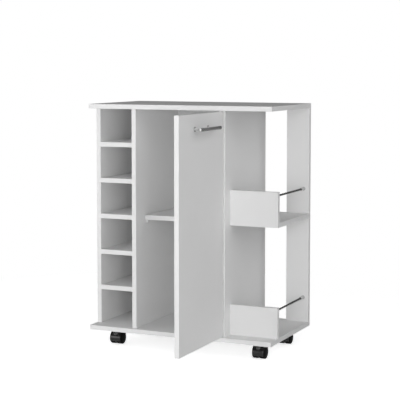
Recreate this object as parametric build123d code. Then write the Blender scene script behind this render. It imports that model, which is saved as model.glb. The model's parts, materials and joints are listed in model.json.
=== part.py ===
from build123d import *
import os

# A bar cart on casters: bottle rack at the left, cabinet with a door in the middle, two open trays at the right.
# Sizes are in millimetres. X runs from the left end of the boards, Y from their front edge to the back and Z up
# from the underside of the bottom board. The last step moves everything to the origin, under the middle of the
# part on the floor.

# Carcass boards
cart_width = 640.0
cart_depth = 360.0
body_height = 745.0
board = 15.0
left_setback = 52.0
wall_setback = 15.0
rack_opening = 135.0
cabinet_opening = 299.0
rack_shelf_count = 5
rack_shelf_pitch = 119.0

# Edge bands glued on the edges of boards that show
band_thickness = 0.8
band_round = 0.5

# Back panels in their grooves
back_inset = 22.0
back_thickness = 3.0
groove_depth = 5.0
groove_slack = 0.2

# Inner shelf on its pegs
inner_shelf_setback = 77.0
inner_shelf_slack = 1.5
peg_inset = 13.0
peg_width = 11.0
peg_height = 11.0
peg_reach = 8.0
peg_stem = 5.0
peg_stem_length = 9.0

# Side trays
tray_setback = 57.0
tray_rise = 97.0
upright_width = 79.0
rail_diameter = 7.0
rail_from_end = 19.0
rail_below_edge = 15.5
socket_diameter = 13.0
socket_length = 7.0
socket_floor = 1.5
socket_spigot = 6.0
socket_spigot_length = 8.0

# Door, drawn closed and then swung open
door_free_reveal = 2.0
door_hinge_reveal = 6.0
door_top_gap = 3.0
door_bottom_gap = 1.0
door_rear_gap = 2.0
rest_opening = 90.0
pivot_from_edge = 5.0
pivot_from_face = 6.0

# Pivot hinges above and below the door
hinge_length = 46.0
hinge_plate_width = 12.0
hinge_plate_thickness = 2.2
hinge_plate_overhang = 6.0
hinge_leaf_margin = 2.0
hinge_leaf_thickness = 2.5
hinge_pin = 4.0
hinge_pin_reach = 5.5
hinge_washer = 9.0
hinge_play = 0.1
hinge_screw_spots = (9.0, 25.0)
hinge_screw_head = 6.5
hinge_screw_thread = 3.5
hinge_screw_length = 13.0

# Bar handle
handle_length = 156.0
handle_diameter = 11.0
handle_chamfer = 0.8
handle_standoff = 29.0
handle_below_top = 45.0
handle_from_free_edge = 158.0
post_spacing = 96.0
post_diameter = 8.0
handle_screw_head = 8.0
handle_screw_head_height = 2.4
handle_screw_thread = 4.0
handle_screw_grip = 12.0

# Dowels
dowel_diameter = 8.0
dowel_length = 30.0
dowel_chamfer = 1.0
dowel_in_face = 10.0

# Connecting screws with a countersunk hexagon socket head
screw_head = 10.0
screw_head_depth = 2.5
screw_shank = 7.0
screw_shank_length = 12.0
screw_thread = 5.0
screw_length = 48.0
screw_socket = 4.0
screw_socket_depth = 3.0

# Cam fittings under the top board
cam_diameter = 15.0
cam_skin = 3.0
cam_drop = 24.0
cam_slot_width = 1.2
cam_slot_length = 8.0
cam_slot_depth = 2.0
bolt_thread = 7.0
bolt_thread_length = 10.0
bolt_shank = 5.0
bolt_neck = 3.4
bolt_neck_length = 2.5
bolt_head = 5.8
bolt_head_length = 3.0

# Where the hidden joints sit along an edge
joint_front_inset = 40.0
joint_rear_inset = 100.0
cam_rear_inset = 60.0
upright_joint_inset = 15.0
shelf_joint_inset = 50.0
tray_joint_inset = 30.0

# Casters
caster_inset = 65.0
caster_trail = 9.5
plate_size = 42.0
plate_thickness = 2.0
plate_corner = 4.0
plate_hole_spacing = 32.0
king_pin = 8.0
king_pin_length = 11.0
boss_diameter = 20.0
boss_height = 9.5
swivel_gap = 0.3
hood_width = 38.5
hood_wall = 2.0
hood_gap = 1.2
hood_tilt = 22.0
hood_round = 1.2
hood_corner = 10.4
web_thickness = 4.5
web_disc = 39.0
axle_diameter = 6.0
caster_screw_head = 7.5
caster_screw_head_height = 2.2
caster_screw_thread = 4.0
caster_screw_grip = 11.0

# Wheels
wheel_diameter = 41.0
wheel_width = 17.5
wheel_dome = 3.0
wheel_side_gap = 1.0
wheel_rim = 3.5
wheel_hub = 14.0
wheel_hollow = 11.0
wheel_shoulder = 2.5
wheel_round = 1.0
wheel_bore_depth = 14.0
axle_end_gap = 0.5

# Fits
running_fit = 0.05
drill_slack = 0.1

# Places worked out from the sizes
floor_z = board
ceiling_z = body_height - board
middle_z = (body_height - board) / 2
partition_x = board + rack_opening
cabinet_x = partition_x + board
side_x = cabinet_x + cabinet_opening
tray_x = side_x + board
upright_x = cart_width - upright_width
upright_y = cart_depth - board
back_y = cart_depth - back_inset - back_thickness
tray_floor_y = tray_setback + board

door_left = partition_x + door_free_reveal
door_right = tray_x - door_hinge_reveal
door_back = wall_setback - door_rear_gap
door_front = door_back - board
door_bottom = floor_z + door_bottom_gap
door_top = ceiling_z - door_top_gap
pivot_x = door_right - pivot_from_edge
pivot_y = door_front + pivot_from_face

wheel_radius = wheel_diameter / 2
pocket_radius = wheel_radius + hood_gap
hood_radius = pocket_radius + hood_wall
pair_width = web_thickness + 2 * (wheel_side_gap + wheel_width)
axle_drop = plate_thickness + swivel_gap + boss_height + hood_radius
caster_height = axle_drop + wheel_radius

RIGHT, BACK, UP = (1, 0, 0), (0, 1, 0), (0, 0, 1)
LEFT, FRONT, DOWN = (-1, 0, 0), (0, -1, 0), (0, 0, -1)


def block(low, high):
    """A box between two opposite corners."""
    size = [abs(b - a) for a, b in zip(low, high)]
    corner = [min(a, b) for a, b in zip(low, high)]
    return Pos(*corner) * Box(*size, align=(Align.MIN, Align.MIN, Align.MIN))


def rod(start, direction, length, radius):
    """A round bar from a point along a direction."""
    bar = Cylinder(radius, length, align=(Align.CENTER, Align.CENTER, Align.MIN))
    return Plane(origin=start, z_dir=direction) * bar


def turned(start, direction, outline):
    """A solid of revolution. The outline lists pairs of radius and distance along the axis."""
    face = make_face(Polyline(*outline, close=True))
    return Plane(origin=start, z_dir=direction) * revolve(Plane.XZ * face, Axis.Z)


def group(pieces):
    """Several separate solids as one node."""
    return Compound([solid for piece in pieces for solid in piece.solids()])


def banded_board(low, high, sides):
    """A board between two opposite corners as its core and the bands on the named sides.

    Each band runs the full length that the bands named before it leave, with its long outer edges rounded.
    """
    low = list(low)
    high = list(high)
    bands = []
    for side in sides:
        band_low = list(low)
        band_high = list(high)
        axis = [abs(d) for d in side].index(1)
        if side[axis] > 0:
            high[axis] -= band_thickness
            band_low[axis] = high[axis]
        else:
            low[axis] += band_thickness
            band_high[axis] = low[axis]
        strip = block(band_low, band_high)
        outer_face = strip.faces().sort_by(Axis((0, 0, 0), side))[-1]
        long_edges = [edge for edge in outer_face.edges() if edge.length > board]
        bands.append(fillet(long_edges, band_round))
    return block(low, high), bands


def meet(one, other):
    """True where the boxes around two solids overlap."""
    a = one.bounding_box()
    b = other.bounding_box()
    apart_low = (a.max.X <= b.min.X, a.max.Y <= b.min.Y, a.max.Z <= b.min.Z)
    apart_high = (b.max.X <= a.min.X, b.max.Y <= a.min.Y, b.max.Z <= a.min.Z)
    return not any(apart_low + apart_high)


def cut(piece, holes):
    """A piece with the holes that reach it cut out."""
    return piece - [hole for hole in holes if meet(piece, hole)]


def dowel(start, direction, slack=0.0):
    """A chamfered wooden dowel, or with slack the hole for it."""
    radius = dowel_diameter / 2 + slack
    end = dowel_length + slack
    outline = [
        (0, -slack),
        (radius - dowel_chamfer, -slack),
        (radius, dowel_chamfer - slack),
        (radius, end - dowel_chamfer),
        (radius - dowel_chamfer, end),
        (0, end),
    ]
    return turned(start, direction, outline)


def connecting_screw_body(start, direction, slack=0.0):
    """Head, shank and thread of a connecting screw, or with slack the hole for it."""
    outline = [
        (0, 0),
        (screw_head / 2 + slack, 0),
        (screw_shank / 2 + slack, screw_head_depth),
        (screw_shank / 2 + slack, screw_shank_length),
        (screw_thread / 2 + slack, screw_shank_length),
        (screw_thread / 2 + slack, screw_length + slack),
        (0, screw_length + slack),
    ]
    return turned(start, direction, outline)


def connecting_screw(start, direction):
    """A connecting screw with its hexagon socket."""
    socket = extrude(RegularPolygon(screw_socket / 2, 6, major_radius=False), screw_socket_depth)
    return connecting_screw_body(start, direction) - Plane(origin=start, z_dir=direction) * socket


def hinge_screw(start, direction, slack=0.0):
    """A small countersunk screw, or with slack the hole for it."""
    sink = (hinge_screw_head - hinge_screw_thread) / 2
    outline = [
        (0, 0),
        (hinge_screw_head / 2 + slack, 0),
        (hinge_screw_thread / 2 + slack, sink),
        (hinge_screw_thread / 2 + slack, hinge_screw_length + slack),
        (0, hinge_screw_length + slack),
    ]
    return turned(start, direction, outline)


def headed_screw(seat, direction, head, head_height, thread, grip):
    """A screw whose flat head sits on a face at the seat and whose thread goes on along the direction."""
    outline = [
        (0, -head_height),
        (head / 2, -head_height),
        (head / 2, 0),
        (thread / 2, 0),
        (thread / 2, grip),
        (0, grip),
    ]
    return turned(seat, direction, outline)


def back_panel(left, right, slack=0.0):
    """A thin back panel let into grooves on all four sides, or with slack the grooves."""
    reach = groove_depth + slack
    low = (left - reach, back_y - slack, floor_z - reach)
    high = (right + reach, back_y + back_thickness + slack, ceiling_z + reach)
    return block(low, high)


nodes = {}

# Carcass boards: two opposite corners and the edges that carry a band. Holes and grooves are cut further down
upper_tray_top = middle_z + board + tray_rise
lower_tray_top = floor_z + tray_rise
all_round = (FRONT, BACK, LEFT, RIGHT)
front_and_back = (FRONT, BACK)
board_plans = {
    "top_board": ((0, 0, ceiling_z), (cart_width, cart_depth, body_height), all_round),
    "bottom_board": ((0, 0, 0), (cart_width, cart_depth, floor_z), all_round),
    "left_side_panel": ((0, left_setback, floor_z), (board, cart_depth, ceiling_z), front_and_back),
    "rack_partition": ((partition_x, wall_setback, floor_z), (cabinet_x, cart_depth, ceiling_z), front_and_back),
    "cabinet_side_panel": ((side_x, wall_setback, floor_z), (tray_x, cart_depth, ceiling_z), front_and_back),
    "rear_upright": ((upright_x, upright_y, floor_z), (cart_width, cart_depth, ceiling_z), (LEFT, RIGHT)),
    "side_shelf": ((tray_x, tray_floor_y, middle_z), (cart_width, upright_y, middle_z + board), (BACK, RIGHT)),
    "upper_tray_front": (
        (tray_x, tray_setback, middle_z), (cart_width, tray_floor_y, upper_tray_top), (UP, DOWN, RIGHT)),
    "lower_tray_front": (
        (tray_x, tray_setback, floor_z), (cart_width, tray_floor_y, lower_tray_top), (UP, RIGHT)),
    "inner_shelf": (
        (cabinet_x + inner_shelf_slack, inner_shelf_setback, middle_z),
        (side_x - inner_shelf_slack, back_y - inner_shelf_slack, middle_z + board),
        (FRONT,),
    ),
}
rack_shelf_middles = []
for number in range(rack_shelf_count):
    steps_from_middle = number - (rack_shelf_count - 1) / 2
    shelf_z = middle_z + steps_from_middle * rack_shelf_pitch
    rack_shelf_middles.append(shelf_z + board / 2)
    low = (board, left_setback, shelf_z)
    high = (partition_x, back_y - groove_slack, shelf_z + board)
    board_plans[f"rack_shelf_{number + 1}"] = (low, high, (FRONT,))
boards = {}
edge_bands = []
for name, plan in board_plans.items():
    boards[name], bands = banded_board(*plan)
    edge_bands += bands

# Back panels
nodes["rack_back_panel"] = back_panel(board, partition_x)
nodes["cabinet_back_panel"] = back_panel(cabinet_x, side_x)
holes = [
    back_panel(board, partition_x, groove_slack),
    back_panel(cabinet_x, side_x, groove_slack),
]

# Pegs under the corners of the inner shelf
pegs = []
for wall_x, inward in ((cabinet_x, 1), (side_x, -1)):
    for peg_y in (inner_shelf_setback + peg_inset, back_y - peg_inset):
        head_low = (wall_x, peg_y - peg_width / 2, middle_z - peg_height)
        head_high = (wall_x + inward * peg_reach, peg_y + peg_width / 2, middle_z)
        stem_start = (wall_x, peg_y, middle_z - peg_height / 2)
        outward = LEFT if inward > 0 else RIGHT
        stem = rod(stem_start, outward, peg_stem_length, peg_stem / 2)
        pegs.append(block(head_low, head_high) + stem)
        hole_length = peg_stem_length + drill_slack
        holes.append(rod(stem_start, outward, hole_length, peg_stem / 2 + drill_slack))
nodes["shelf_pegs"] = group(pegs)

# Places of the hidden joints: the panels that stand on edge between the bottom and top boards
left_x = board / 2
partition_mid_x = partition_x + board / 2
side_mid_x = side_x + board / 2
upright_mid_y = upright_y + board / 2
tray_front_mid_y = tray_setback + board / 2
side_shelf_mid_z = middle_z + board / 2
standing_panels = ((left_x, left_setback), (partition_mid_x, wall_setback), (side_mid_x, wall_setback))
upright_joints = (upright_x + upright_joint_inset, cart_width - upright_joint_inset)
tray_joints = (tray_x + tray_joint_inset, cart_width - tray_joint_inset)
rack_joints = (left_setback + shelf_joint_inset, back_y - shelf_joint_inset)
side_shelf_joints = (tray_floor_y + shelf_joint_inset, upright_y - shelf_joint_inset)

dowel_spots = []
screw_spots = []
dowel_z = ceiling_z + dowel_in_face
for panel_x, panel_front in standing_panels:
    for panel_y in (panel_front + joint_front_inset, cart_depth - joint_rear_inset):
        dowel_spots.append(((panel_x, panel_y, dowel_z), DOWN))
        screw_spots.append(((panel_x, panel_y, 0), UP))
for joint_x in upright_joints:
    dowel_spots.append(((joint_x, upright_mid_y, dowel_z), DOWN))
    screw_spots.append(((joint_x, upright_mid_y, 0), UP))
    screw_spots.append(((joint_x, cart_depth, side_shelf_mid_z), FRONT))
for shelf_mid_z in rack_shelf_middles:
    for shelf_y in rack_joints:
        dowel_spots.append(((partition_x + dowel_in_face, shelf_y, shelf_mid_z), LEFT))
        screw_spots.append(((0, shelf_y, shelf_mid_z), RIGHT))
for shelf_y in side_shelf_joints:
    screw_spots.append(((side_x, shelf_y, side_shelf_mid_z), RIGHT))
for joint_x in tray_joints:
    dowel_spots.append(((joint_x, tray_floor_y - dowel_in_face, side_shelf_mid_z), BACK))
    screw_spots.append(((joint_x, tray_front_mid_y, 0), UP))
for tray_top in (upper_tray_top, lower_tray_top):
    screw_spots.append(((side_x, tray_front_mid_y, tray_top - tray_rise / 2), RIGHT))

nodes["dowels"] = group([dowel(*spot) for spot in dowel_spots])
nodes["connecting_screws"] = group([connecting_screw(*spot) for spot in screw_spots])
holes += [dowel(*spot, slack=drill_slack) for spot in dowel_spots]
holes += [connecting_screw_body(*spot, slack=drill_slack) for spot in screw_spots]

# Cam fittings: a bolt hangs from the top board into a cam let into a face of the panel below
cam_z = ceiling_z - cam_drop
cam_depth = board - cam_skin
cam_y = cart_depth - cam_rear_inset
upright_cam_x = upright_x + upright_width / 2
cam_spots = [
    ((board, cam_y, cam_z), LEFT),
    ((partition_x, cam_y, cam_z), RIGHT),
    ((side_x, cam_y, cam_z), RIGHT),
    ((upright_cam_x, cart_depth, cam_z), FRONT),
]
cams = []
bolts = []
for face_point, inward in cam_spots:
    bolt_x = face_point[0] + inward[0] * board / 2
    bolt_y = face_point[1] + inward[1] * board / 2
    bolt_top = (bolt_x, bolt_y, ceiling_z + bolt_thread_length)
    head_start = bolt_thread_length + cam_drop - bolt_head_length / 2
    neck_start = head_start - bolt_neck_length
    bolt_outline = [
        (0, 0),
        (bolt_thread / 2, 0),
        (bolt_thread / 2, bolt_thread_length),
        (bolt_shank / 2, bolt_thread_length),
        (bolt_shank / 2, neck_start),
        (bolt_neck / 2, neck_start),
        (bolt_neck / 2, head_start),
        (bolt_head / 2, head_start),
        (bolt_head / 2, head_start + bolt_head_length),
        (0, head_start + bolt_head_length),
    ]
    bolts.append(turned(bolt_top, DOWN, bolt_outline))
    bolt_bore = rod((bolt_x, bolt_y, cam_z - bolt_head_length), UP,
                    bolt_head_length + cam_drop + bolt_thread_length + drill_slack, bolt_thread / 2 + drill_slack)
    slot = Box(cam_slot_length, cam_slot_width, 2 * cam_slot_depth)
    slot += Box(cam_slot_width, cam_slot_length, 2 * cam_slot_depth)
    cam_plane = Plane(origin=face_point, z_dir=inward)
    cams.append(rod(face_point, inward, cam_depth, cam_diameter / 2) - bolt_bore - cam_plane * slot)
    holes.append(rod(face_point, inward, cam_depth + drill_slack, cam_diameter / 2 + drill_slack))
    holes.append(bolt_bore)
nodes["cam_locks"] = group(cams)
nodes["cam_bolts"] = group(bolts)

# Rails of the side trays, each between a socket on the tray front and one on the rear upright
rail_x = cart_width - rail_from_end
sockets = []
for rail_name, tray_top in (("upper_rail", upper_tray_top), ("lower_rail", lower_tray_top)):
    rail_z = tray_top - rail_below_edge
    rail_start = (rail_x, tray_floor_y + socket_floor, rail_z)
    rail_length = upright_y - tray_floor_y - 2 * socket_floor
    nodes[rail_name] = rod(rail_start, BACK, rail_length, rail_diameter / 2)
    for face_y, outward, inward in ((tray_floor_y, BACK, FRONT), (upright_y, FRONT, BACK)):
        seat = (rail_x, face_y, rail_z)
        socket = rod(seat, outward, socket_length, socket_diameter / 2)
        socket -= rod(rail_start, BACK, rail_length, rail_diameter / 2 + running_fit)
        socket += rod(seat, inward, socket_spigot_length, socket_spigot / 2)
        sockets.append(socket)
        hole_length = socket_spigot_length + drill_slack
        holes.append(rod(seat, inward, hole_length, socket_spigot / 2 + drill_slack))
nodes["rail_sockets"] = group(sockets)

# Pivot hinges: a plate with a pin let into each board behind its band, and a leaf let into each end of the door
door_low = (door_left, door_front, door_bottom)
door_high = (door_right, door_back, door_top)
door_panel, door_bands = banded_board(door_low, door_high, (LEFT, RIGHT, UP, DOWN))
door_holes = []
hinge_plates = []
hinge_leaves = []
hinge_pins = []
hinge_washers = []
plate_screws = []
leaf_screws = []
door_nodes = {}
plate_right = pivot_x + hinge_plate_overhang
plate_left = plate_right - hinge_length
plate_front = band_thickness + drill_slack
plate_back = plate_front + hinge_plate_width
plate_mid_y = (plate_front + plate_back) / 2
leaf_left = door_right - hinge_length
leaf_front = door_front + hinge_leaf_margin
leaf_back = door_back - hinge_leaf_margin
leaf_mid_y = (leaf_front + leaf_back) / 2
for face_z, edge_z, away in ((floor_z, door_bottom, UP), (ceiling_z, door_top, DOWN)):
    sign = away[2]
    towards = DOWN if sign > 0 else UP
    plate_z = face_z - sign * hinge_plate_thickness
    leaf_z = edge_z + sign * hinge_leaf_thickness
    pin_start = (pivot_x, pivot_y, plate_z)
    pin_length = abs(leaf_z - plate_z) + hinge_pin_reach
    hinge_pins.append(rod(pin_start, away, pin_length, hinge_pin / 2))
    pin_hole = rod(pin_start, away, pin_length + drill_slack, hinge_pin / 2 + running_fit)

    washer_height = abs(edge_z - face_z) - hinge_play
    washer = rod((pivot_x, pivot_y, face_z), away, washer_height, hinge_washer / 2)
    hinge_washers.append(washer - pin_hole)

    plate = block((plate_left, plate_front, plate_z), (plate_right, plate_back, face_z)) - pin_hole
    leaf = block((leaf_left, leaf_front, edge_z), (door_right, leaf_back, leaf_z)) - pin_hole
    plate_recess_low = (plate_left - drill_slack, plate_front - drill_slack, plate_z)
    plate_recess_high = (plate_right + drill_slack, plate_back + drill_slack, face_z)
    holes.append(block(plate_recess_low, plate_recess_high))
    leaf_recess_low = (leaf_left - drill_slack, leaf_front - drill_slack, edge_z)
    leaf_recess_high = (door_right, leaf_back + drill_slack, leaf_z)
    door_holes.append(block(leaf_recess_low, leaf_recess_high))
    door_holes.append(rod(pin_start, away, pin_length + drill_slack, hinge_pin / 2 + drill_slack))
    for spot in hinge_screw_spots:
        plate_screw_spot = ((plate_left + spot, plate_mid_y, face_z), towards)
        leaf_screw_spot = ((leaf_left + spot, leaf_mid_y, edge_z), away)
        plate_screws.append(hinge_screw(*plate_screw_spot))
        leaf_screws.append(hinge_screw(*leaf_screw_spot))
        plate -= hinge_screw(*plate_screw_spot, slack=drill_slack)
        leaf -= hinge_screw(*leaf_screw_spot, slack=drill_slack)
        door_holes.append(hinge_screw(*leaf_screw_spot, slack=drill_slack))
        holes.append(hinge_screw(*plate_screw_spot, slack=drill_slack))
    hinge_plates.append(plate)
    hinge_leaves.append(leaf)
nodes["hinge_plates"] = group(hinge_plates)
nodes["hinge_pins"] = group(hinge_pins)
nodes["hinge_washers"] = group(hinge_washers)
nodes["hinge_plate_screws"] = group(plate_screws)
door_nodes["hinge_leaves"] = group(hinge_leaves)
door_nodes["hinge_leaf_screws"] = group(leaf_screws)

# Bar handle on the door's outer face, held by screws from inside
handle_x = door_left + handle_from_free_edge
handle_y = door_front - handle_standoff
handle_z = door_top - handle_below_top
bar_start = (handle_x - handle_length / 2, handle_y, handle_z)
bar = rod(bar_start, RIGHT, handle_length, handle_diameter / 2)
door_nodes["handle_bar"] = chamfer(bar.edges().filter_by(GeomType.CIRCLE), handle_chamfer)
posts = []
handle_screws = []
for side in (-1, 1):
    post_x = handle_x + side * post_spacing / 2
    post = rod((post_x, door_front, handle_z), FRONT, handle_standoff, post_diameter / 2)
    post -= rod(bar_start, RIGHT, handle_length, handle_diameter / 2 + running_fit)
    seat = (post_x, door_back, handle_z)
    screw_hole = rod(seat, FRONT, board + handle_screw_grip + drill_slack, handle_screw_thread / 2 + drill_slack)
    screw = headed_screw(seat, FRONT, handle_screw_head, handle_screw_head_height, handle_screw_thread,
                         board + handle_screw_grip)
    posts.append(post - screw_hole)
    handle_screws.append(screw)
    door_holes.append(screw_hole)
door_nodes["handle_posts"] = group(posts)
door_nodes["handle_screws"] = group(handle_screws)
door_nodes["door_panel"] = cut(door_panel, door_holes)
door_nodes["door_edge_bands"] = group([cut(band, door_holes) for band in door_bands])

# The door stands open at rest
swing = Pos(pivot_x, pivot_y, 0) * Rot(0, 0, rest_opening) * Pos(-pivot_x, -pivot_y, 0)
for name, piece in door_nodes.items():
    nodes[name] = swing * piece


def caster_plate():
    """Square plate with its king pin, drawn about the swivel axis with the board's underside at zero."""
    half = plate_size / 2
    plate = block((-half, -half, -plate_thickness), (half, half, 0))
    plate = fillet(plate.edges().filter_by(Axis.Z), plate_corner)
    for x, y in plate_hole_centres():
        plate -= rod((x, y, 0), DOWN, plate_thickness, caster_screw_thread / 2 + drill_slack)
    return plate + rod((0, 0, -plate_thickness), DOWN, king_pin_length, king_pin / 2)


def plate_hole_centres():
    """The four screw holes of a caster plate."""
    reach = plate_hole_spacing / 2
    return [(x, y) for x in (-reach, reach) for y in (-reach, reach)]


def caster_hood():
    """Moulded hood: a shell over both wheels, curved in front and squared at the upper back, a web between
    the wheels and a boss round the king pin."""
    axle_centre = (0, caster_trail, -axle_drop)
    shell_start = (-hood_width / 2, caster_trail, -axle_drop)
    upper_back = block(shell_start, (hood_width / 2, caster_trail + hood_radius, hood_radius - axle_drop))
    back_edge = upper_back.edges().filter_by(Axis.X).sort_by(lambda e: e.center().Y + e.center().Z)[-1]
    shell = rod(shell_start, RIGHT, hood_width, hood_radius) + fillet(back_edge, hood_corner)
    shell = fillet(shell.faces().filter_by(Axis.X).edges(), hood_round)
    cut_size = 4 * hood_radius
    raised_box = Pos(0, 0, cut_size / 2) * Box(cut_size, cut_size, cut_size)
    upper_side = Pos(*axle_centre) * Rot(hood_tilt, 0, 0) * raised_box
    boss_top = plate_thickness + swivel_gap
    boss = rod((0, 0, -boss_top), DOWN, axle_drop - boss_top, boss_diameter / 2)
    disc = rod((-web_thickness / 2, caster_trail, -axle_drop), RIGHT, web_thickness, web_disc / 2)
    hood = (shell & upper_side) + boss + disc
    for direction in (LEFT, RIGHT):
        pocket_start = (direction[0] * web_thickness / 2, caster_trail, -axle_drop)
        hood -= rod(pocket_start, direction, pair_width, pocket_radius)
    hood -= rod((0, 0, -plate_thickness), DOWN, king_pin_length + drill_slack, king_pin / 2 + running_fit)
    bore_start = (-pair_width / 2, caster_trail, -axle_drop)
    return hood - rod(bore_start, RIGHT, pair_width, axle_diameter / 2 + drill_slack)


def caster_axle():
    """Plain axle through the web into both wheels."""
    reach = web_thickness / 2 + wheel_side_gap + wheel_bore_depth - axle_end_gap
    return rod((-reach, caster_trail, -axle_drop), RIGHT, 2 * reach, axle_diameter / 2)


def caster_wheel(direction):
    """One wheel: hollow towards the web, with a round shoulder, a domed cover and a blind bore for the axle."""
    bore = axle_diameter / 2 + running_fit
    rim = wheel_radius - wheel_rim
    outline = Polyline(
        (0, wheel_width + wheel_dome),
        (0, wheel_bore_depth),
        (bore, wheel_bore_depth),
        (bore, 0),
        (wheel_hub / 2, 0),
        (wheel_hub / 2, wheel_hollow),
        (rim, wheel_hollow),
        (rim, 0),
        (wheel_radius, 0),
        (wheel_radius, wheel_width - wheel_shoulder),
    )
    cover_radius = wheel_radius - wheel_shoulder
    shoulder = RadiusArc(outline @ 1, (cover_radius, wheel_width), -wheel_shoulder)
    dome_radius = (cover_radius ** 2 + wheel_dome ** 2) / (2 * wheel_dome)
    cover = RadiusArc(shoulder @ 1, outline @ 0, -dome_radius)
    face = make_face(outline + shoulder + cover)
    inner_x = direction[0] * (web_thickness / 2 + wheel_side_gap)
    inner_plane = Plane(origin=(inner_x, caster_trail, -axle_drop), z_dir=direction)
    wheel = inner_plane * revolve(Plane.XZ * face, Axis.Z)
    circles = wheel.edges().filter_by(GeomType.CIRCLE)
    tread_edges = [e for e in circles if abs(e.radius - wheel_radius) < drill_slack]
    inner_edge = min(tread_edges, key=lambda e: abs(e.center().X - inner_x))
    return fillet(inner_edge, wheel_round)


# Four casters, all trailing towards the back at rest
caster_screws = []
for depth_name, caster_y in (("front", caster_inset), ("rear", cart_depth - caster_inset)):
    for side_name, caster_x in (("left", caster_inset), ("right", cart_width - caster_inset)):
        place = Pos(caster_x, caster_y, 0)
        corner = f"{depth_name}_{side_name}"
        nodes[f"{corner}_caster_plate"] = place * caster_plate()
        nodes[f"{corner}_caster_hood"] = place * caster_hood()
        nodes[f"{corner}_caster_axle"] = place * caster_axle()
        nodes[f"{corner}_caster_left_wheel"] = place * caster_wheel(LEFT)
        nodes[f"{corner}_caster_right_wheel"] = place * caster_wheel(RIGHT)
        for x, y in plate_hole_centres():
            seat = (caster_x + x, caster_y + y, -plate_thickness)
            grip = plate_thickness + caster_screw_grip
            caster_screws.append(headed_screw(seat, UP, caster_screw_head, caster_screw_head_height,
                                              caster_screw_thread, grip))
            holes.append(rod(seat, UP, grip + drill_slack, caster_screw_thread / 2 + drill_slack))
nodes["caster_screws"] = group(caster_screws)

# Drill and groove the boards
for name, plain in boards.items():
    nodes[name] = cut(plain, holes)
nodes["edge_bands"] = group([cut(band, holes) for band in edge_bands])

# Move everything to the origin on the floor and write one file for each node
free_edge_y = pivot_y - (pivot_x - door_left)
origin = Pos(-cart_width / 2, -(cart_depth + free_edge_y) / 2, caster_height)
os.makedirs("parts", exist_ok=True)
for name, piece in nodes.items():
    export_step(origin * piece, f"parts/{name}.step")
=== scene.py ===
import json
import math

import bpy
import numpy as np
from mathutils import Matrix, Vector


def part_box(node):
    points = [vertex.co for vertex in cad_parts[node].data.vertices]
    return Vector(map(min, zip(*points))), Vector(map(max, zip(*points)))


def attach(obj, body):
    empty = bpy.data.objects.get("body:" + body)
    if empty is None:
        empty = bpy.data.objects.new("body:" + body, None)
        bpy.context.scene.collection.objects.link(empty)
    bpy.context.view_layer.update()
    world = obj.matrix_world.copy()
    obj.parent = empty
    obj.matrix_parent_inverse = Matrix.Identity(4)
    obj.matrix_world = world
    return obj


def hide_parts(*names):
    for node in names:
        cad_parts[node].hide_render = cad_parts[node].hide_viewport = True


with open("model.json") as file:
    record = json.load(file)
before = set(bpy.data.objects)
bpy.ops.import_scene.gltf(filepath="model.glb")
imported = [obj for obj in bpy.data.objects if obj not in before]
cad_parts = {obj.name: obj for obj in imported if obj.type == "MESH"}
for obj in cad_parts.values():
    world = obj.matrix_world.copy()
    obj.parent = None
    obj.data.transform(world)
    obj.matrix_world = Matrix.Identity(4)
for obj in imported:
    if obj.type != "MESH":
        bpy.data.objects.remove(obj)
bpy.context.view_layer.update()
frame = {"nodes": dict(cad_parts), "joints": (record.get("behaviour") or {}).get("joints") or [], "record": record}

# A white bar cart on black twin-wheel casters. Boards, edge bands, back panels, rails, hinges, caster
# plates and hidden fittings are the frame's own nodes with new finishes. The casters' hoods and wheels, the
# handle, the rail sockets, the shelf pegs and the screws of handle and casters are modelled again in more
# detail. Lengths are in metres, and MM turns a size in millimetres into metres.

MM = 0.001
NODES = frame["nodes"]
JOINTS = {joint["name"]: np.array(joint["pos_m"]) for joint in frame["joints"]}
CASTERS = [f"{depth}_{side}" for depth in ("front", "rear") for side in ("left", "right")]

RIGHT = np.array((1.0, 0.0, 0.0))
BACK = np.array((0.0, 1.0, 0.0))
UP = np.array((0.0, 0.0, 1.0))


def node_box(name):
    """Lowest and highest corner of a frame node as arrays."""
    low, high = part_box(name)
    return np.array(low), np.array(high)


# Shapes
# An edge bent by more than the sharp angle, in degrees, stays crisp. A turned skin that meets its axis
# stops at the small pole radius, where a polygon closes it.

RING_POINTS = 48
CURVE_STEPS = 6
SHARP_ANGLE = 38.0
NEARLY_UP = 0.9
DECIMALS = 6
EDGE = 0.4 * MM
POLE = 0.02 * MM
RUNNING_FIT = 0.05 * MM


def ease(value):
    """Smooth step from 0 to 1: three times the square less twice the cube, held outside that range."""
    clipped = np.clip(value, 0.0, 1.0)
    return clipped * clipped * (3.0 - 2.0 * clipped)


def whole_turn(count):
    """Even angles once round, without the last one, which would meet the first."""
    return np.linspace(0.0, 2.0 * np.pi, count, endpoint=False)


def rounded(corners, steps=CURVE_STEPS):
    """An outline through corner points (across, along, trim): each corner with a trim is replaced by a
    parabola that leaves one side and meets the other that far from the corner."""
    corners = np.array(corners, float)
    places = corners[:, :2]
    trims = corners[:, 2]
    t = np.linspace(0.0, 1.0, steps)[:, None]
    outline = []
    for k, (place, trim) in enumerate(zip(places, trims)):
        if trim == 0.0 or k in (0, len(places) - 1):
            outline.append(place[None])
            continue
        before = places[k - 1] - place
        after = places[k + 1] - place
        start = place + before / np.linalg.norm(before) * trim
        end = place + after / np.linalg.norm(after) * trim
        outline.append((1 - t) ** 2 * start + 2 * t * (1 - t) * place + t ** 2 * end)
    return np.concatenate(outline)


def finer(outline, step):
    """An outline with points added so that no run is longer than the step."""
    runs = np.linalg.norm(np.diff(outline, axis=0), axis=1)
    place = np.concatenate(([0.0], np.cumsum(runs)))
    every = np.unique(np.round(np.concatenate((place, np.arange(0.0, place[-1], step))), DECIMALS))
    return np.stack([np.interp(every, place, outline[:, k]) for k in range(2)], axis=1)


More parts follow.
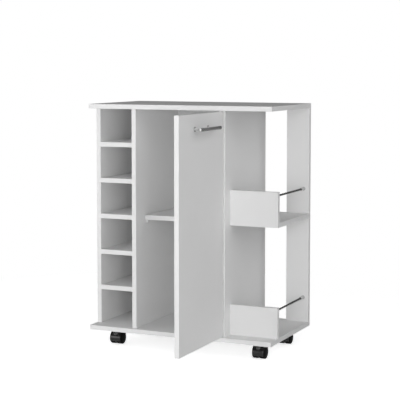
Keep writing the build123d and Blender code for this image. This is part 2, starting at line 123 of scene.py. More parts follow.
def skin(rings):
    """A closed skin over rings of points, an array of ring by point by coordinate: quads join neighbouring
    rings, one polygon closes each end, and the sign of the enclosed volume turns the faces outward."""
    count, around, _ = rings.shape
    points = rings.reshape(-1, 3)
    first = np.arange(count - 1)[:, None] * around
    here = np.arange(around)
    ahead = np.roll(here, -1)
    corners = (first + here, first + ahead, first + around + ahead, first + around + here)
    quads = np.stack(corners, axis=-1).reshape(-1, 4)
    caps = [here[::-1], here + (count - 1) * around]
    fans = [np.stack((np.full(around - 2, cap[0]), cap[1:-1], cap[2:]), axis=-1) for cap in caps]
    triangles = np.concatenate((quads[:, [0, 1, 2]], quads[:, [0, 2, 3]], *fans))
    a, b, c = (points[triangles[:, k]] for k in range(3))
    inside_out = np.einsum("ij,ij->i", a, np.cross(b, c)).sum() < 0
    if inside_out:
        quads = quads[:, ::-1]
        caps = [cap[::-1] for cap in caps]
    return points, quads, caps


def across_axis(axis):
    """Two directions square to an axis and to each other."""
    helper = UP if abs(axis[2]) < NEARLY_UP else RIGHT
    one = np.cross(helper, axis)
    one = one / np.linalg.norm(one)
    return one, np.cross(axis, one)


def turned(outline, origin, axis, around=RING_POINTS):
    """The closed skin of a turned shape: each outline point (radius, along) goes round the axis."""
    one, other = across_axis(axis)
    angle = whole_turn(around)[None, :, None]
    radius = outline[:, 0][:, None, None]
    along = outline[:, 1][:, None, None]
    return skin(origin + along * axis + radius * (np.cos(angle) * one + np.sin(angle) * other))


def make_piece(name, skins, finish, body, stands_for=()):
    """One mesh from several skins, shaded smooth but for sharp edges, riding on a body of the frame."""
    points = []
    faces = []
    start = 0
    for skin_points, quads, caps in skins:
        points += skin_points.tolist()
        faces += (quads + start).tolist() + [(cap + start).tolist() for cap in caps]
        start += len(skin_points)
    mesh = bpy.data.meshes.new(name)
    mesh.from_pydata(points, [], faces)
    mesh.polygons.foreach_set("use_smooth", np.ones(len(faces), bool))
    mesh.set_sharp_from_angle(angle=math.radians(SHARP_ANGLE))
    mesh.materials.append(finish)
    mesh.validate()
    piece = bpy.data.objects.new(name, mesh)
    bpy.context.scene.collection.objects.link(piece)
    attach(piece, body)
    if stands_for:
        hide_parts(*stands_for)


# Finishes
# Noise swings about a half, and most of it lies between these two ends of the swing.

SWING_LOW = 0.3
SWING_HIGH = 0.7


def shader_of(material):
    """The principled shader of a material."""
    return material.node_tree.nodes["Principled BSDF"]


def start_finish(name, colour, roughness, metallic=0.0, specular=0.5, rim=1.0):
    """A new node material with these values set on its shader. A rim under 1 dims a metal's edges."""
    material = bpy.data.materials.new(name)
    material.use_nodes = True
    shader = shader_of(material)
    shader.inputs["Base Color"].default_value = (*colour, 1.0)
    shader.inputs["Roughness"].default_value = roughness
    shader.inputs["Metallic"].default_value = metallic
    shader.inputs["Specular IOR Level"].default_value = specular
    shader.inputs["Specular Tint"].default_value = (rim, rim, rim, 1.0)
    return material


def add_node(material, kind, **inputs):
    """A node whose inputs, named with underscores for spaces, take values or other nodes' outputs."""
    tree = material.node_tree
    node = tree.nodes.new(kind)
    for name, value in inputs.items():
        socket = node.inputs[name.replace("_", " ")]
        if isinstance(value, bpy.types.NodeSocket):
            tree.links.new(value, socket)
        else:
            socket.default_value = value
    return node


def object_place(material, stretch=(1.0, 1.0, 1.0)):
    """Object coordinates, stretched along the axes."""
    place = add_node(material, "ShaderNodeTexCoord").outputs["Object"]
    return add_node(material, "ShaderNodeMapping", Vector=place, Scale=stretch).outputs["Vector"]


def grain(material, scale, detail=2.0, stretch=(1.0, 1.0, 1.0)):
    """Soft noise in object coordinates. The scale is in features to the metre."""
    place = object_place(material, stretch)
    noise = add_node(material, "ShaderNodeTexNoise", Vector=place, Scale=scale, Detail=detail)
    return noise.outputs["Fac"]


def vary_colour(material, amount, dark, light):
    """The base colour runs from dark to light with an amount that swings about a half."""
    ramp = add_node(material, "ShaderNodeValToRGB", Fac=amount)
    stops = ramp.color_ramp.elements
    stops[0].position = SWING_LOW
    stops[0].color = (*dark, 1.0)
    stops[1].position = SWING_HIGH
    stops[1].color = (*light, 1.0)
    material.node_tree.links.new(ramp.outputs["Color"], shader_of(material).inputs["Base Color"])


def vary_roughness(material, amount, low, high):
    """The roughness runs from low to high with an amount that swings about a half."""
    spread = add_node(material, "ShaderNodeMapRange", Value=amount, From_Min=SWING_LOW, From_Max=SWING_HIGH,
                      To_Min=low, To_Max=high)
    material.node_tree.links.new(spread.outputs["Result"], shader_of(material).inputs["Roughness"])


def raise_relief(material, height, strength, distance):
    """Fine relief on the surface from a height between 0 and 1."""
    bump = add_node(material, "ShaderNodeBump", Height=height, Strength=strength, Distance=distance)
    material.node_tree.links.new(bump.outputs["Normal"], shader_of(material).inputs["Normal"])


def grey(value):
    """A neutral colour."""
    return (value, value, value)


def board_finish():
    """White melamine face: faint mottling of the paper and a fine pearl grain."""
    material = start_finish("white_melamine", grey(0.81), roughness=0.7, specular=0.0)
    pearl = grain(material, scale=900.0, detail=3.0)
    vary_colour(material, grain(material, scale=4.0, detail=3.0), dark=grey(0.80), light=grey(0.825))
    vary_roughness(material, pearl, low=0.62, high=0.78)
    raise_relief(material, pearl, strength=0.12, distance=0.2 * MM)
    return material


def band_finish():
    """White plastic edge band: smoother than the board's face and a touch greyer."""
    material = start_finish("white_edge_band", grey(0.8), roughness=0.55, specular=0.0)
    ripple = grain(material, scale=350.0, detail=2.0)
    vary_colour(material, grain(material, scale=9.0, detail=2.0), dark=grey(0.79), light=grey(0.815))
    vary_roughness(material, ripple, low=0.5, high=0.6)
    raise_relief(material, ripple, strength=0.08, distance=0.2 * MM)
    return material


def hardboard_finish():
    """White lacquered hardboard with the fibres showing faintly through the paint."""
    material = start_finish("white_hardboard", grey(0.8), roughness=0.75, specular=0.0)
    fibre = grain(material, scale=420.0, detail=4.0, stretch=(1.0, 1.0, 0.6))
    vary_colour(material, grain(material, scale=60.0, detail=4.0), dark=grey(0.775), light=grey(0.81))
    vary_roughness(material, fibre, low=0.7, high=0.85)
    raise_relief(material, fibre, strength=0.2, distance=0.2 * MM)
    return material


def dark_chrome_finish():
    """Dark chrome drawn along the rod: fine lengthwise polishing lines."""
    material = start_finish("dark_chrome", grey(0.025), roughness=0.14, metallic=1.0, rim=0.7)
    lines = grain(material, scale=1500.0, detail=2.0, stretch=(1.0, 0.02, 1.0))
    vary_colour(material, lines, dark=grey(0.02), light=grey(0.03))
    vary_roughness(material, lines, low=0.1, high=0.18)
    raise_relief(material, lines, strength=0.04, distance=0.05 * MM)
    return material


def handle_tube_finish():
    """Dark satin steel brushed along the tube."""
    material = start_finish("dark_satin_steel", grey(0.08), roughness=0.2, metallic=1.0)
    lines = grain(material, scale=1200.0, detail=2.0, stretch=(1.0, 0.02, 1.0))
    vary_colour(material, lines, dark=grey(0.065), light=grey(0.1))
    vary_roughness(material, lines, low=0.16, high=0.26)
    raise_relief(material, lines, strength=0.05, distance=0.05 * MM)
    return material


def bright_steel_finish():
    """Bright satin steel with faint polishing haze."""
    material = start_finish("bright_satin_steel", grey(0.52), roughness=0.25, metallic=1.0)
    haze = grain(material, scale=800.0, detail=3.0)
    vary_colour(material, haze, dark=grey(0.48), light=grey(0.56))
    vary_roughness(material, haze, low=0.2, high=0.32)
    return material


def polished_steel_finish():
    """Pale polished steel with a soft even sheen."""
    material = start_finish("pale_polished_steel", grey(0.85), roughness=0.3, metallic=1.0)
    haze = grain(material, scale=700.0, detail=3.0)
    vary_colour(material, haze, dark=grey(0.82), light=grey(0.88))
    vary_roughness(material, haze, low=0.26, high=0.36)
    return material


def soft_steel_finish():
    """Mid grey satin steel with a soft broad sheen."""
    material = start_finish("soft_satin_steel", grey(0.38), roughness=0.42, metallic=1.0, rim=0.4)
    haze = grain(material, scale=700.0, detail=3.0)
    vary_colour(material, haze, dark=grey(0.36), light=grey(0.4))
    vary_roughness(material, haze, low=0.36, high=0.48)
    return material


def zinc_finish():
    """Zinc plating: cool grey with a fine crystal mottle."""
    material = start_finish("zinc_plate", (0.58, 0.59, 0.61), roughness=0.38, metallic=1.0)
    cells = add_node(material, "ShaderNodeTexVoronoi", Vector=object_place(material), Scale=450.0)
    mottle = cells.outputs["Distance"]
    vary_colour(material, mottle, dark=(0.53, 0.54, 0.56), light=(0.63, 0.64, 0.66))
    vary_roughness(material, mottle, low=0.32, high=0.44)
    return material


def lacquer_finish():
    """White lacquer on the steel hinges, with a faint orange peel."""
    material = start_finish("white_lacquer", grey(0.72), roughness=0.4, specular=0.2)
    peel = grain(material, scale=600.0, detail=2.0)
    vary_colour(material, grain(material, scale=40.0, detail=2.0), dark=grey(0.7), light=grey(0.74))
    vary_roughness(material, peel, low=0.35, high=0.46)
    raise_relief(material, peel, strength=0.1, distance=0.1 * MM)
    return material


def beech_finish():
    """Raw beech: long upright grain with small dark flecks."""
    material = start_finish("raw_beech", (0.62, 0.45, 0.29), roughness=0.65, specular=0.2)
    flecks = grain(material, scale=700.0, detail=3.0, stretch=(1.0, 1.0, 0.12))
    vary_colour(material, flecks, dark=(0.53, 0.37, 0.23), light=(0.68, 0.51, 0.34))
    raise_relief(material, flecks, strength=0.2, distance=0.2 * MM)
    return material


def white_plastic_finish():
    """Moulded white plastic with a fine eroded grain."""
    material = start_finish("moulded_white_plastic", grey(0.78), roughness=0.45, specular=0.4)
    eroded = grain(material, scale=1400.0, detail=2.0)
    vary_colour(material, eroded, dark=grey(0.76), light=grey(0.8))
    vary_roughness(material, eroded, low=0.4, high=0.52)
    raise_relief(material, eroded, strength=0.1, distance=0.1 * MM)
    return material


def hood_finish():
    """Black nylon moulding with a sheen: fine eroded grain, slightly greyed on the high spots."""
    material = start_finish("moulded_black_nylon", grey(0.004), roughness=0.24, specular=0.32)
    eroded = grain(material, scale=1600.0, detail=2.0)
    vary_colour(material, eroded, dark=grey(0.003), light=grey(0.006))
    vary_roughness(material, eroded, low=0.2, high=0.28)
    raise_relief(material, eroded, strength=0.08, distance=0.1 * MM)
    return material


def tread_finish():
    """Black wheel moulding: duller than the hood, with faint scuffs across the tread."""
    material = start_finish("black_wheel", grey(0.006), roughness=0.45, specular=0.02)
    scuffs = grain(material, scale=260.0, detail=4.0, stretch=(0.4, 1.0, 1.0))
    vary_colour(material, scuffs, dark=grey(0.004), light=grey(0.008))
    vary_roughness(material, scuffs, low=0.4, high=0.55)
    raise_relief(material, scuffs, strength=0.08, distance=0.1 * MM)
    return material


FINISHES = {
    "white_board": board_finish(),
    "white_edge_band": band_finish(),
    "white_hardboard": hardboard_finish(),
    "chrome": dark_chrome_finish(),
    "satin_steel": handle_tube_finish(),
    "bright_steel": bright_steel_finish(),
    "polished_steel": polished_steel_finish(),
    "soft_steel": soft_steel_finish(),
    "zinc": zinc_finish(),
    "white_lacquered_steel": lacquer_finish(),
    "beech": beech_finish(),
    "white_plastic": white_plastic_finish(),
    "black_nylon": hood_finish(),
    "black_tread": tread_finish(),
}
for subpart in frame["record"]["subparts"]:
    materials = NODES[subpart["node"]].data.materials
    materials.clear()
    materials.append(FINISHES[subpart["material_slot"]])


# Casters
# The hood's lips and the web's fade are in degrees round the axle, the lips from straight ahead over the
# top. Tread grooves lie at shares of the wheel's width, and cover grooves at radii.

HOOD_WALL = 2.0 * MM
HOOD_LIPS = (-22.0, 158.0)
HOOD_SWEEP_STEPS = 96
HOOD_OVER_STEPS = 41
HOOD_UNDER_STEPS = 12
SECTION_POWER = 6
SECTION_ROOT = 3.0
FRONT_POWER = 2.0
BACK_POWER = 5.0
LIP_ROUND = 1.2 * MM
LIP_LEAST = 0.05
LIP_BEAD = 0.35 * MM
BOSS_RADIUS = 10.0 * MM
BOSS_FLARE = 3.0 * MM
BOSS_ROUND = 0.8 * MM
BOSS_RIM_ANGLES = (30.0, 60.0, 90.0)
BOSS_RISE_POWER = 1.5
BOSS_STEPS = 16
BOSS_POINTS = 64
WEB_THICKNESS = 4.5 * MM
WEB_ROUND = 0.5 * MM
WEB_DISC = 19.5 * MM
WEB_FADE = 25.0
WEB_POINTS = 120
WHEEL_RIM = 3.5 * MM
WHEEL_HUB = 7.0 * MM
WHEEL_HOLLOW = 11.0 * MM
WHEEL_DOME = 3.0 * MM
WHEEL_SHOULDER = 2.5 * MM
WHEEL_STEP = 1.2 * MM
WHEEL_POINTS = 80
SHOULDER_STEPS = 12
COVER_STEPS = 60
COVER_GROOVES = (5.5 * MM, 15.5 * MM)
TREAD_GROOVES = (0.3, 0.6)
GROOVE_SIZE = 0.5 * MM
GROOVE_EDGE = EDGE / 3
BORE_DEPTH = 14.0 * MM


def round_axle(angle):
    """Directions square to the axle, at angles from straight ahead over the top."""
    return np.stack((np.zeros_like(angle), -np.cos(angle), np.sin(angle)), axis=-1)


def hood_shell(axle, half_width, radius):
    """The hood's shell. Its section is a superellipse outside, wall times (1 - |x|^6)^(1/3) over a level
    inside, and is carried round the axle from lip to lip: in a circle over the front, and over the back in
    a superellipse that squares the upper corner. At each lip it closes in a quarter circle behind a low
    bead."""
    lips = np.radians(HOOD_LIPS)
    half_turn = (lips[1] - lips[0]) / 2
    sweep = np.sin(np.linspace(-np.pi / 2, np.pi / 2, HOOD_SWEEP_STEPS))
    turn = lips.mean() + sweep * half_turn
    from_lip = radius * half_turn * (1.0 - np.abs(sweep))
    closing = np.sqrt(1.0 - (1.0 - np.clip(from_lip / LIP_ROUND, LIP_LEAST, 1.0)) ** 2)
    bead = LIP_BEAD * np.exp(-((from_lip - LIP_ROUND) / LIP_ROUND) ** 2)
    over = np.sin(np.linspace(-np.pi / 2, np.pi / 2, HOOD_OVER_STEPS))
    under = np.linspace(1.0, -1.0, HOOD_UNDER_STEPS)[1:-1]
    across = np.concatenate((over, under)) * half_width
    bulge = (1.0 - np.abs(over) ** SECTION_POWER) ** (1.0 / SECTION_ROOT)
    swell = np.concatenate((bulge, np.zeros(len(under))))
    depth = HOOD_WALL * (0.5 + (swell[None] - 0.5) * closing[:, None]) + bead[:, None] * swell[None]
    power = np.where(turn > np.pi / 2, BACK_POWER, FRONT_POWER)
    square = (np.abs(np.cos(turn)) ** power + np.abs(np.sin(turn)) ** power) ** (-1.0 / power)
    reach = (radius - HOOD_WALL + depth) * square[:, None]
    return skin(axle + across[None, :, None] * RIGHT + reach[:, :, None] * round_axle(turn)[:, None])


def hood_web(axle, radius):
    """The plate between the wheels: a disc round the axle that eases out to the shell between the lips."""
    angle = whole_turn(WEB_POINTS)
    lips = np.radians(HOOD_LIPS)
    off = np.abs((angle - lips.mean() + np.pi) % (2.0 * np.pi) - np.pi)
    spread = ease(((lips[1] - lips[0]) / 2 - off) / np.radians(WEB_FADE))
    outline = WEB_DISC + (radius - HOOD_WALL / 2 - WEB_DISC) * spread
    half_web = WEB_THICKNESS / 2
    along = np.array((-half_web, WEB_ROUND - half_web, half_web - WEB_ROUND, half_web))
    inset = np.array((WEB_ROUND, 0.0, 0.0, WEB_ROUND))
    reach = outline[None] - inset[:, None]
    return skin(axle + along[:, None, None] * RIGHT + reach[:, :, None] * round_axle(angle)[None])


def hood_boss(swivel, axle, radius, top):
    """The boss round the king pin: circles that start on the shell's curve, draw in from a flare and end
    in a rounded rim. The flare shrinks with the cube of what is left of the way up."""
    rise = np.linspace(0.0, 1.0, BOSS_STEPS)
    wide = BOSS_RADIUS + BOSS_FLARE * (1.0 - rise) ** 3
    drop = np.full(len(rise), BOSS_ROUND)
    rim = np.radians(BOSS_RIM_ANGLES)
    wide = np.concatenate((wide, BOSS_RADIUS - BOSS_ROUND * (1.0 - np.cos(rim))))[:, None]
    drop = np.concatenate((drop, BOSS_ROUND * (1.0 - np.sin(rim))))[:, None]
    rise = np.concatenate((rise, np.ones(len(rim))))[:, None]
    angle = whole_turn(BOSS_POINTS)
    x = swivel[0] + wide * np.cos(angle)
    y = swivel[1] + wide * np.sin(angle)
    shell = axle[2] + np.sqrt(np.maximum((radius - HOOD_WALL / 2) ** 2 - (y - axle[1]) ** 2, 0.0))
    z = shell + (top - drop - shell) * rise ** BOSS_RISE_POWER
    return skin(np.stack((x, y, z), axis=-1))


def wheel_skin(inner_face, outward, radius, width, bore):
    """One wheel, turned about its axle: blind bore, hub, hollow, tread with two grooves, round shoulder and
    a domed cover. The shoulder is a quarter circle and the cover a flat arc, which two V grooves ring."""
    rim = radius - WHEEL_RIM
    cover_reach = radius - WHEEL_SHOULDER
    corners = [(POLE, BORE_DEPTH, 0), (bore, BORE_DEPTH, 0), (bore, 0, EDGE), (WHEEL_HUB, 0, EDGE),
               (WHEEL_HUB, WHEEL_HOLLOW, EDGE), (rim, WHEEL_HOLLOW, EDGE), (rim, 0, EDGE),
               (radius, 0, 2 * EDGE)]
    for share in TREAD_GROOVES:
        middle = share * width
        corners += [(radius, middle - GROOVE_SIZE, GROOVE_EDGE),
                    (radius - GROOVE_SIZE, middle, GROOVE_EDGE),
                    (radius, middle + GROOVE_SIZE, GROOVE_EDGE)]
    corners.append((radius, width - WHEEL_SHOULDER, 0))
    side = finer(rounded(corners), WHEEL_STEP)
    swing = np.linspace(0.0, np.pi / 2, SHOULDER_STEPS)
    shoulder = np.stack((cover_reach + WHEEL_SHOULDER * np.cos(swing),
                         width - WHEEL_SHOULDER * (1.0 - np.sin(swing))), axis=1)
    reach = np.linspace(cover_reach, POLE, COVER_STEPS)
    bend = (cover_reach ** 2 + WHEEL_DOME ** 2) / (2.0 * WHEEL_DOME)
    rise = np.sqrt(bend ** 2 - reach ** 2) - bend + WHEEL_DOME
    for groove in COVER_GROOVES:
        rise = rise - np.maximum(GROOVE_SIZE - np.abs(reach - groove), 0.0)
    cover = np.stack((reach, width + rise), axis=1)
    return turned(np.concatenate((side, shoulder[1:], cover[1:])), inner_face, outward, WHEEL_POINTS)


for corner in CASTERS:
    caster = f"{corner}_caster"
    swivel = JOINTS[f"{corner}_swivel"]
    axle = np.array((swivel[0], *JOINTS[f"{corner}_left_wheel_spin"][1:]))
    axle_low, axle_high = node_box(f"{caster}_axle")
    bore = (axle_high[2] - axle_low[2]) / 2 + RUNNING_FIT
    hood_node = f"{caster}_hood"
    hood_low, hood_high = node_box(hood_node)
    hood_radius = axle[1] - hood_low[1]
    hood_half = (hood_high[0] - hood_low[0]) / 2
    hood_skins = [hood_shell(axle, hood_half, hood_radius), hood_web(axle, hood_radius),
                  hood_boss(swivel, axle, hood_radius, hood_high[2])]
    make_piece(f"{corner}_hood", hood_skins, FINISHES["black_nylon"], caster, [hood_node])
    wheel_low, wheel_high = node_box(f"{caster}_left_wheel")
    wheel_radius = (wheel_high[2] - wheel_low[2]) / 2
    wheel_width = wheel_high[0] - wheel_low[0] - WHEEL_DOME
    for side, outward in (("left", -RIGHT), ("right", RIGHT)):
        wheel_node = f"{caster}_{side}_wheel"
        wheel_low, wheel_high = node_box(wheel_node)
        inner_x = wheel_high[0] if side == "left" else wheel_low[0]
        inner_face = np.array((inner_x, *axle[1:]))
        wheel = wheel_skin(inner_face, outward, wheel_radius, wheel_width, bore)
        make_piece(f"{corner}_{side}_wheel", [wheel], FINISHES["black_tread"], wheel_node,
                   [wheel_node])


# Handle, rail sockets, shelf pegs and screws
# The flat of a cap is a share of its radius, and the rim of a socket a share of its length. A screw's
# recess and the fall of its head are shares of the head's radius and height.

HANDLE_POINTS = 64
HANDLE_CAP = 2.5 * MM
HANDLE_DOME = 1.0 * MM
CAP_FLAT = 0.75
CAP_CURVE_STEPS = 8
ROSETTE_RADIUS = 8.0 * MM
ROSETTE_THICKNESS = 1.5 * MM
SOCKET_LENGTH = 7.0 * MM
SOCKET_FLOOR = 1.5 * MM
SOCKET_RIM = 0.35
COLLAR_LENGTH = 28.0 * MM
COLLAR_WALL = 1.2 * MM
PEG_WIDTH = 11.0 * MM
PEG_HEIGHT = 11.0 * MM
PEG_REACH = 8.0 * MM
PEG_ROUND = 1.2 * MM
PEG_POWER = 5.0
PEG_STEPS = 20
PEG_STEM = 2.5 * MM
PEG_STEM_LENGTH = 9.0 * MM
ROD_POINTS = 24
ROD_CURVE_STEPS = 4
PLATE_HOLE_REACH = 16.0 * MM
CASTER_HEAD_HEIGHT = 2.2 * MM
HANDLE_HEAD_HEIGHT = 2.4 * MM
SCREW_THREAD = 2.0 * MM
SCREW_GRID = 29
HEAD_FALL = 0.6
RECESS_DEPTH = 0.6
RECESS_LENGTH = 0.66
RECESS_WIDTH = 0.22
RECESS_EASE = 0.14


def handle_tube(start, length, radius):
    """The handle's tube: a round bar with lightly broken ends, turned about its length."""
    break_size = EDGE / 2
    corners = [(POLE, 0, 0), (radius - break_size, 0, 0), (radius, break_size, 0),
               (radius, length - break_size, 0), (radius - break_size, length, 0), (POLE, length, 0)]
    return turned(rounded(corners), start, BACK, HANDLE_POINTS)


def handle_cap(end, inward, radius):
    """An end cap of the handle: a short round plug with a low dome and a rounded rim."""
    break_size = EDGE / 2
    corners = [(POLE, 0, 0), (CAP_FLAT * radius, EDGE / 3, 2 * EDGE), (radius, HANDLE_DOME, 2 * EDGE),
               (radius, HANDLE_CAP - break_size, 0), (radius - break_size, HANDLE_CAP, 0),
               (POLE, HANDLE_CAP, 0)]
    return turned(rounded(corners, CAP_CURVE_STEPS), end, inward, HANDLE_POINTS)


def handle_post(foot, length, radius):
    """A post of the handle: a round pillar with a broken edge at its foot that ends inside the tube."""
    corners = [(POLE, 0, 0), (radius, 0, EDGE / 2), (radius, length, 0), (POLE, length, 0)]
    return turned(rounded(corners), foot, RIGHT)


def post_rosette(foot, radius):
    """The flat disc round a post's foot, with its rim rounded over."""
    corners = [(radius, 0, 0), (ROSETTE_RADIUS, 0, EDGE / 2), (ROSETTE_RADIUS, ROSETTE_THICKNESS, 2 * EDGE),
               (radius, ROSETTE_THICKNESS, 0)]
    return turned(rounded(corners), foot, RIGHT)


def socket_cup(seat, outward, radius, bore):
    """A rail socket: a cup that narrows from its seat to a slim collar round the rail."""
    collar = bore + COLLAR_WALL
    corners = [(POLE, SOCKET_FLOOR, 0), (bore, SOCKET_FLOOR, 0), (bore, COLLAR_LENGTH, EDGE),
               (collar, COLLAR_LENGTH, EDGE), (collar, SOCKET_LENGTH, 2 * EDGE),
               (radius, SOCKET_RIM * SOCKET_LENGTH, 2 * EDGE), (radius, 0, EDGE / 2), (POLE, 0, 0)]
    return turned(rounded(corners), seat, outward)


def peg_head(wall, inward):
    """A shelf peg's head: a superellipse section of power five carried out of the wall to a rounded end."""
    along = PEG_REACH * np.sin(np.linspace(0.0, np.pi / 2, PEG_STEPS))
    end = np.clip((along - PEG_REACH + PEG_ROUND) / PEG_ROUND, 0.0, 1.0)
    inset = PEG_ROUND * (1.0 - np.sqrt(1.0 - end ** 2))[:, None]
    angle = whole_turn(RING_POINTS)
    waves = (np.cos(angle), np.sin(angle))
    across, up = (np.sign(wave) * np.abs(wave) ** (2.0 / PEG_POWER) for wave in waves)
    y = across * (PEG_WIDTH / 2 - inset)
    z = up * (PEG_HEIGHT / 2 - inset)
    return skin(wall + along[:, None, None] * inward + y[:, :, None] * BACK + z[:, :, None] * UP)


def rod_skin(start, direction, length, radius):
    """A round rod with broken edges."""
    corners = [(POLE, 0, 0), (radius, 0, EDGE), (radius, length, EDGE), (POLE, length, 0)]
    return turned(rounded(corners, ROD_CURVE_STEPS), start, direction, ROD_POINTS)


def screw_head(seat, outward, radius, height):
    """A pan head on a square grid bent to a disc: the height falls with the fourth power of the radius, and
    two crossed bars with eased sides are sunk into it."""
    side = np.linspace(-1.0, 1.0, SCREW_GRID)
    u, v = np.meshgrid(side, side)
    x = u * np.sqrt(1.0 - v ** 2 / 2.0)
    y = v * np.sqrt(1.0 - u ** 2 / 2.0)
    dome = 1.0 - HEAD_FALL * (x ** 2 + y ** 2) ** 2
    bars = [ease((RECESS_LENGTH - np.abs(a)) / RECESS_EASE) * ease((RECESS_WIDTH - np.abs(b)) / RECESS_EASE)
            for a, b in ((x, y), (y, x))]
    lift = (dome - RECESS_DEPTH * np.maximum(*bars))[:, :, None]
    one, other = across_axis(outward)
    base = seat + radius * (x[:, :, None] * one + y[:, :, None] * other)
    return skin(np.concatenate((base + lift * height * outward, base[:, ::-1]), axis=1))


def screw_skins(seat, outward, radius, height, length):
    """The two skins of a screw: its head, and its thread as a plain rod."""
    return [screw_head(seat, outward, radius, height), rod_skin(seat, -outward, length, SCREW_THREAD)]


bar_low, bar_high = node_box("handle_bar")
bar_radius = (bar_high[2] - bar_low[2]) / 2
bar_middle = (bar_low + bar_high) / 2
bar_near = np.array((bar_middle[0], bar_low[1], bar_middle[2]))
bar_far = np.array((bar_middle[0], bar_high[1], bar_middle[2]))
tube = handle_tube(bar_near + HANDLE_CAP * BACK, bar_high[1] - bar_low[1] - 2 * HANDLE_CAP, bar_radius)
make_piece("handle_tube", [tube], FINISHES["satin_steel"], "door", ["handle_bar"])
end_caps = [handle_cap(bar_near, BACK, bar_radius), handle_cap(bar_far, -BACK, bar_radius)]
make_piece("handle_end_caps", end_caps, FINISHES["bright_steel"], "door")

post_low, post_high = node_box("handle_posts")
post_radius = (post_high[2] - post_low[2]) / 2
post_ys = (post_low[1] + post_radius, post_high[1] - post_radius)
post_feet = [np.array((post_low[0], y, bar_middle[2])) for y in post_ys]
posts = [handle_post(foot, bar_middle[0] - post_low[0], post_radius) for foot in post_feet]
make_piece("handle_post_pair", posts, FINISHES["polished_steel"], "door", ["handle_posts"])
rosettes = [post_rosette(foot, post_radius) for foot in post_feet]
make_piece("handle_rosettes", rosettes, FINISHES["soft_steel"], "door")

screw_low, screw_high = node_box("handle_screws")
screw_radius = (screw_high[2] - screw_low[2]) / 2
handle_screws = []
for foot in post_feet:
    seat = np.array((screw_low[0] + HANDLE_HEAD_HEIGHT, *foot[1:]))
    handle_screws += screw_skins(seat, -RIGHT, screw_radius, HANDLE_HEAD_HEIGHT, screw_high[0] - seat[0])
make_piece("handle_screw_pair", handle_screws, FINISHES["zinc"], "door", ["handle_screws"])

socket_low, socket_high = node_box("rail_sockets")
socket_radius = (socket_high[0] - socket_low[0]) / 2
socket_cups = []
for rail in ("upper_rail", "lower_rail"):
    rail_low, rail_high = node_box(rail)
    bore = (rail_high[0] - rail_low[0]) / 2 + RUNNING_FIT
    middle = (rail_low + rail_high) / 2
    for face, outward in ((rail_low[1] - SOCKET_FLOOR, BACK), (rail_high[1] + SOCKET_FLOOR, -BACK)):
        seat = np.array((middle[0], face, middle[2]))
        socket_cups.append(socket_cup(seat, outward, socket_radius, bore))
make_piece("rail_socket_cups", socket_cups, FINISHES["bright_steel"], "cabinet", ["rail_sockets"])

peg_low, peg_high = node_box("shelf_pegs")
pegs = []
for wall_x, inward in ((peg_low[0] + PEG_STEM_LENGTH, RIGHT), (peg_high[0] - PEG_STEM_LENGTH, -RIGHT)):
    for peg_y in (peg_low[1] + PEG_WIDTH / 2, peg_high[1] - PEG_WIDTH / 2):
        wall = np.array((wall_x, peg_y, peg_high[2] - PEG_HEIGHT / 2))
        pegs.append(peg_head(wall, inward))
        pegs.append(rod_skin(wall, -inward, PEG_STEM_LENGTH, PEG_STEM))
make_piece("shelf_peg_set", pegs, FINISHES["white_plastic"], "cabinet", ["shelf_pegs"])

screw_low, screw_high = node_box("caster_screws")
screw_radius = JOINTS["front_left_swivel"][0] - PLATE_HOLE_REACH - screw_low[0]
seat_z = screw_low[2] + CASTER_HEAD_HEIGHT
screw_length = screw_high[2] - seat_z
caster_screws = []
for corner in CASTERS:
    swivel = JOINTS[f"{corner}_swivel"]
    for x in (-PLATE_HOLE_REACH, PLATE_HOLE_REACH):
        for y in (-PLATE_HOLE_REACH, PLATE_HOLE_REACH):
            seat = np.array((swivel[0] + x, swivel[1] + y, seat_z))
            caster_screws += screw_skins(seat, -UP, screw_radius, CASTER_HEAD_HEIGHT, screw_length)
make_piece("caster_screw_set", caster_screws, FINISHES["zinc"], "cabinet", ["caster_screws"])


# Studio
# The camera's angles are in degrees, its lens and sensor in millimetres. Past the outer lit radius the
# floor is seen as plain white.

CAMERA_PLACE = (1.6868, -3.5601, 0.9336)
CAMERA_TILT = 4.317
CAMERA_TURN = 24.444
CAMERA_LENS = 111.71
CAMERA_SENSOR = 36.0
CAMERA_SHIFT = -0.108
WHITE = (1.0, 1.0, 1.0, 1.0)
AMBIENT = 0.02
FLOOR_PAINT = 0.9
FLOOR_GLOW = 0.68
LIT_RADII = (0.8, 1.6)
FLOOR_HALF = 30.0
LAMP_AIM = np.array((0.0, 0.0, 0.42))
LAMP_DISTANCE = 4.2
LAMPS = {
    # name: degrees to the right of the front, degrees up, share of full light, width and height
    "left": (-75.0, 30.0, 0.22, (4.5, 3.0)),
    "front_left": (-40.0, 4.0, 0.3, (3.0, 1.3)),
    "front_right": (20.0, 4.0, 0.34, (3.0, 1.3)),
    "front_high": (20.0, 30.0, 0.215, (4.5, 3.0)),
    "right": (80.0, 30.0, 0.3, (4.5, 3.0)),
    "rear_left": (215.0, 2.0, 0.37, (3.0, 1.3)),
}


def add_math(material, operation, first, second):
    """The result of an operation on two other nodes' outputs."""
    node = add_node(material, "ShaderNodeMath")
    node.operation = operation
    material.node_tree.links.new(first, node.inputs[0])
    material.node_tree.links.new(second, node.inputs[1])
    return node.outputs["Value"]


def mix_shaders(material, amount, first, second):
    """A shader that runs from the first to the second with the amount."""
    mix = add_node(material, "ShaderNodeMixShader", Fac=amount)
    material.node_tree.links.new(first, mix.inputs[1])
    material.node_tree.links.new(second, mix.inputs[2])
    return mix.outputs["Shader"]


def seen_by_eye(material):
    """One for rays from the camera, from gloss and through glass, which see the plain white background."""
    rays = add_node(material, "ShaderNodeLightPath").outputs
    direct = add_math(material, "MAXIMUM", rays["Is Camera Ray"], rays["Is Glossy Ray"])
    return add_math(material, "MAXIMUM", direct, rays["Is Transmission Ray"])


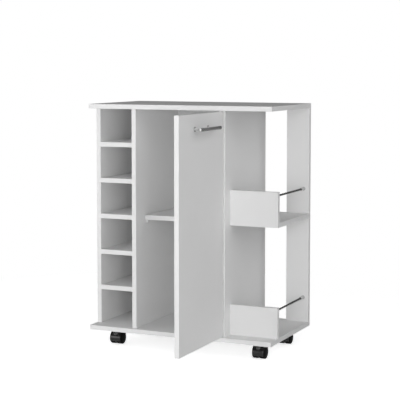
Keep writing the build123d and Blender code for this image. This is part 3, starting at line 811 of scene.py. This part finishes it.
def make_world():
    """White where it is seen, and a soft even light on the object."""
    world = bpy.data.worlds.new("studio")
    bpy.context.scene.world = world
    world.use_nodes = True
    world.node_tree.nodes.clear()
    light = add_node(world, "ShaderNodeBackground", Color=WHITE, Strength=AMBIENT).outputs["Background"]
    white = add_node(world, "ShaderNodeBackground", Color=WHITE, Strength=1.0).outputs["Background"]
    add_node(world, "ShaderNodeOutputWorld", Surface=mix_shaders(world, seen_by_eye(world), light, white))


def floor_finish():
    """A pale paint whose glow, where it is seen, brings it up to white outside the cart's soft shadow. Away
    from the cart it is seen as plain white."""
    material = bpy.data.materials.new("pale_floor")
    material.use_nodes = True
    tree = material.node_tree
    tree.nodes.clear()
    seen = seen_by_eye(material)
    paint = add_node(material, "ShaderNodeBsdfDiffuse", Color=(*grey(FLOOR_PAINT), 1.0))
    strength = add_node(material, "ShaderNodeMapRange", Value=seen, To_Max=FLOOR_GLOW).outputs["Result"]
    glow = add_node(material, "ShaderNodeEmission", Color=WHITE, Strength=strength)
    lit = add_node(material, "ShaderNodeAddShader")
    tree.links.new(paint.outputs["BSDF"], lit.inputs[0])
    tree.links.new(glow.outputs["Emission"], lit.inputs[1])
    white = add_node(material, "ShaderNodeEmission", Color=WHITE, Strength=1.0)
    away = add_node(material, "ShaderNodeVectorMath")
    away.operation = "LENGTH"
    place = add_node(material, "ShaderNodeTexCoord").outputs["Object"]
    tree.links.new(place, away.inputs[0])
    far = add_node(material, "ShaderNodeMapRange", Value=away.outputs["Value"], From_Min=LIT_RADII[0],
                   From_Max=LIT_RADII[1])
    plain = add_math(material, "MULTIPLY", seen, far.outputs["Result"])
    surface = mix_shaders(material, plain, lit.outputs["Shader"], white.outputs["Emission"])
    add_node(material, "ShaderNodeOutputMaterial", Surface=surface)
    return material


def make_floor():
    """The level square that the cart stands on."""
    mesh = bpy.data.meshes.new("floor")
    square = [(x * FLOOR_HALF, y * FLOOR_HALF, 0.0) for x, y in ((-1, -1), (1, -1), (1, 1), (-1, 1))]
    mesh.from_pydata(square, [], [(0, 1, 2, 3)])
    mesh.materials.append(floor_finish())
    floor = bpy.data.objects.new("floor", mesh)
    bpy.context.scene.collection.objects.link(floor)


def aim_rotation(direction):
    """Turns that point an object's -Z axis along a unit direction, with its X axis level."""
    x, y, z = direction
    return (math.acos(-z), 0.0, math.atan2(-x, y))


def make_lamps():
    """Wide soft lamps round the cart. A share of 1 lights a white face square to the lamp to full white."""
    for name, (turn, elevation, share, size) in LAMPS.items():
        light = bpy.data.lights.new(name, "AREA")
        light.shape = "RECTANGLE"
        light.size, light.size_y = size
        azimuth = math.radians(turn)
        height = math.radians(elevation)
        level = np.array((math.sin(azimuth), -math.cos(azimuth), 0.0))
        towards = math.cos(height) * level + math.sin(height) * UP
        light.energy = share * (math.pi * LAMP_DISTANCE) ** 2
        lamp = bpy.data.objects.new(name, light)
        bpy.context.scene.collection.objects.link(lamp)
        lamp.location = LAMP_AIM + LAMP_DISTANCE * towards
        lamp.rotation_euler = aim_rotation(-towards)
        lamp.visible_camera = False


def make_camera():
    """The photograph's view: a long lens, a little above the top board, from the front right."""
    data = bpy.data.cameras.new("camera")
    data.sensor_width = CAMERA_SENSOR
    data.lens = CAMERA_LENS
    data.shift_y = CAMERA_SHIFT
    camera = bpy.data.objects.new("camera", data)
    bpy.context.scene.collection.objects.link(camera)
    camera.location = CAMERA_PLACE
    camera.rotation_euler = (math.radians(90.0 - CAMERA_TILT), 0.0, math.radians(CAMERA_TURN))
    bpy.context.scene.camera = camera


make_world()
make_floor()
make_lamps()
make_camera()
bpy.context.scene.view_settings.view_transform = "Standard"
